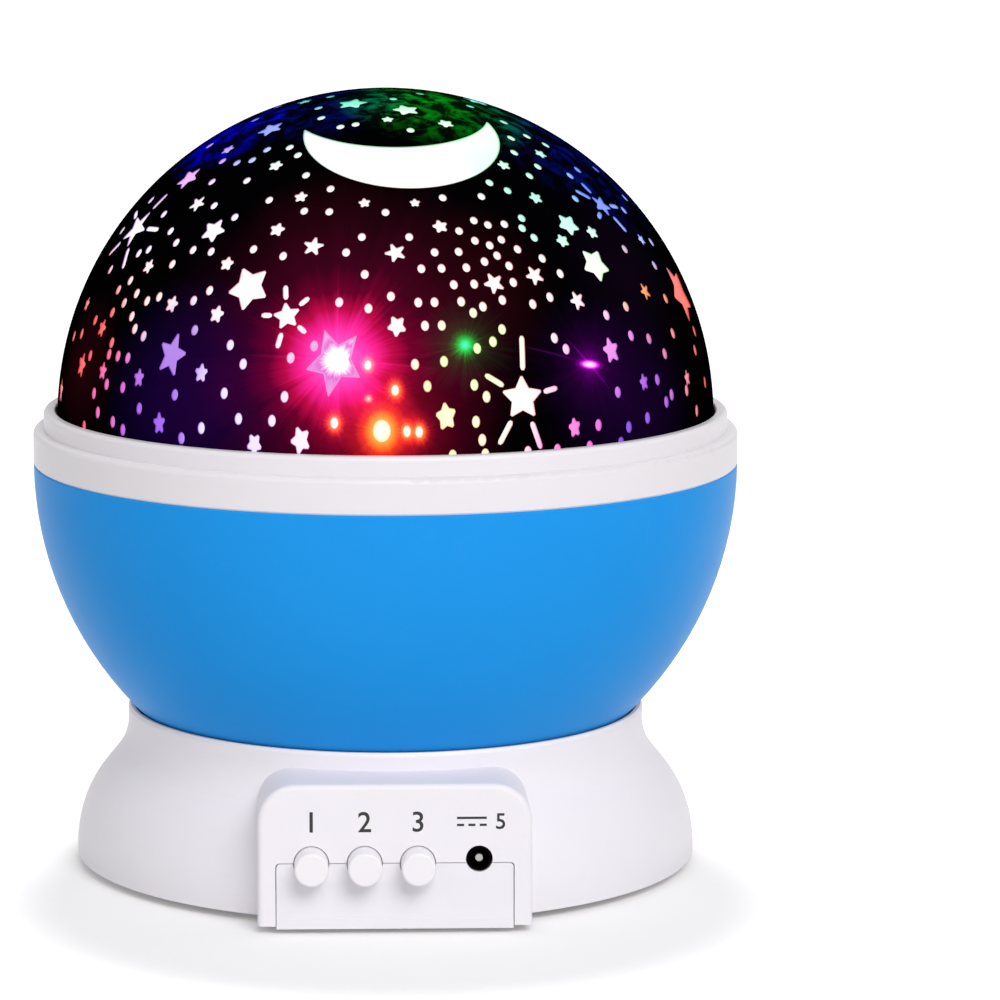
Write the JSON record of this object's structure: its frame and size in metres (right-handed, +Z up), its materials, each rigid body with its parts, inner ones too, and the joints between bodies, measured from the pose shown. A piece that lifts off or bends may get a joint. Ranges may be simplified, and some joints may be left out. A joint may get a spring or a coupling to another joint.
{
  "type": "star night light projector",
  "caption": "Child's night light: a turning bowl with a black star dome over a fixed battery base with push buttons; a motor and gears turn the lit dome.",
  "frame": {"origin": "on the floor under the middle of the lamp", "axes": "+Z up along the turning axis; -Y towards the control panel; +X to the viewer's right"},
  "size_m": [0.13, 0.13, 0.1432],
  "materials": {
    "white_shell": "satin white moulded plastic",
    "blue_bowl": "semi-gloss blue moulded plastic",
    "white_ring": "semi-gloss white moulded plastic",
    "clear_dome": "clear frosted plastic, lit from inside",
    "black_skin": "gloss black skin, open at the stars",
    "button_white": "satin white plastic",
    "plate_white": "satin white moulded plastic",
    "rubber": "soft grey rubber",
    "steel": "plain steel",
    "inlet_black": "black moulded plastic",
    "pin_metal": "nickel plated",
    "board_green": "green circuit board",
    "switch_black": "black moulded plastic",
    "plunger_red": "moulded plastic",
    "tray_white": "natural white moulded plastic",
    "cell_case": "plain wrapped steel",
    "contact_metal": "nickel plated spring steel",
    "nylon": "natural nylon",
    "gear_white": "natural acetal",
    "gear_brass": "machined brass",
    "motor_steel": "drawn steel can",
    "lamp_lens": "clear epoxy lens",
    "lamp_red": "red epoxy lens",
    "lamp_green": "green epoxy lens",
    "lamp_blue": "blue epoxy lens",
    "wire_grey": "sleeved wires"
  },
  "bodies": {
    "base": {"base_shell": "white_shell", "base_plate": "plate_white", "plate_screws": "steel", "rubber_feet": "rubber", "battery_tray": "tray_white", "front_contacts": "contact_metal", "rear_contacts": "contact_metal", "control_board": "board_green", "power_inlet": "inlet_black", "inlet_pin": "pin_metal", "slip_washer": "nylon", "drive_axle": "steel", "compound_axle": "steel", "lamp_tower": "tray_white", "tower_screws": "steel", "gear_cover": "tray_white", "cover_screws": "steel", "motor_can": "motor_steel", "lamp_board": "board_green", "lamp_white": "lamp_lens", "lamp_green": "lamp_green", "lamp_blue": "lamp_blue", "lamp_red": "lamp_red", "wire_loom": "wire_grey", "cell_1": "cell_case", "cell_2": "cell_case", "cell_3": "cell_case", "cell_4": "cell_case", "push_switch_1": "switch_black", "push_switch_2": "switch_black", "push_switch_3": "switch_black"},
    "head": {"bowl": "blue_bowl", "rim_ring": "white_ring", "star_dome": "clear_dome", "star_skin": "black_skin", "ring_gear": "gear_white", "ring_screws": "steel"},
    "drive_gear_body": {"drive_gear": "gear_white"},
    "compound_gear_body": {"compound_gear": "gear_white"},
    "motor_rotor": {"motor_pinion": "gear_brass", "motor_shaft": "steel"},
    "battery_door_body": {"battery_door": "plate_white"},
    "button_1_body": {"button_1": "button_white", "plunger_1": "plunger_red"},
    "button_2_body": {"button_2": "button_white", "plunger_2": "plunger_red"},
    "button_3_body": {"button_3": "button_white", "plunger_3": "plunger_red"}
  },
  "joints": [
    {"name": "head_spin", "type": "hinge", "parent": "base", "child": "head", "pos_m": [0, 0, 0.0265], "axis": [0, 0, 1], "continuous": true},
    {"name": "drive_gear_spin", "type": "hinge", "parent": "base", "child": "drive_gear_body", "pos_m": [0.025, 0, 0.034], "axis": [0, 0, 1], "continuous": true},
    {"name": "compound_gear_spin", "type": "hinge", "parent": "base", "child": "compound_gear_body", "pos_m": [0.0175, 0.01299, 0.04], "axis": [0, 0, 1], "continuous": true},
    {"name": "motor_spin", "type": "hinge", "parent": "base", "child": "motor_rotor", "pos_m": [0.00301, 0.01687, 0.046], "axis": [0, 0, 1], "continuous": true},
    {"name": "battery_door_hinge", "type": "hinge", "parent": "base", "child": "battery_door_body", "pos_m": [0, 0.02825, 0.0019], "axis": [1, 0, 0], "range_deg": [0, 75]},
    {"name": "button_1_push", "type": "slide", "parent": "base", "child": "button_1_body", "axis": [0, 1, 0], "range_m": [0, 0.002], "stiffness_N_per_m": 600, "springref_m": -0.001},
    {"name": "button_2_push", "type": "slide", "parent": "base", "child": "button_2_body", "axis": [0, 1, 0], "range_m": [0, 0.002], "stiffness_N_per_m": 600, "springref_m": -0.001},
    {"name": "button_3_push", "type": "slide", "parent": "base", "child": "button_3_body", "axis": [0, 1, 0], "range_m": [0, 0.002], "stiffness_N_per_m": 600, "springref_m": -0.001}
  ],
  "couplings": [
    {"joint": "drive_gear_spin", "follows": "head_spin", "ratio": 4.5714},
    {"joint": "compound_gear_spin", "follows": "head_spin", "ratio": -18.286},
    {"joint": "motor_spin", "follows": "head_spin", "ratio": 91.429}
  ]
}
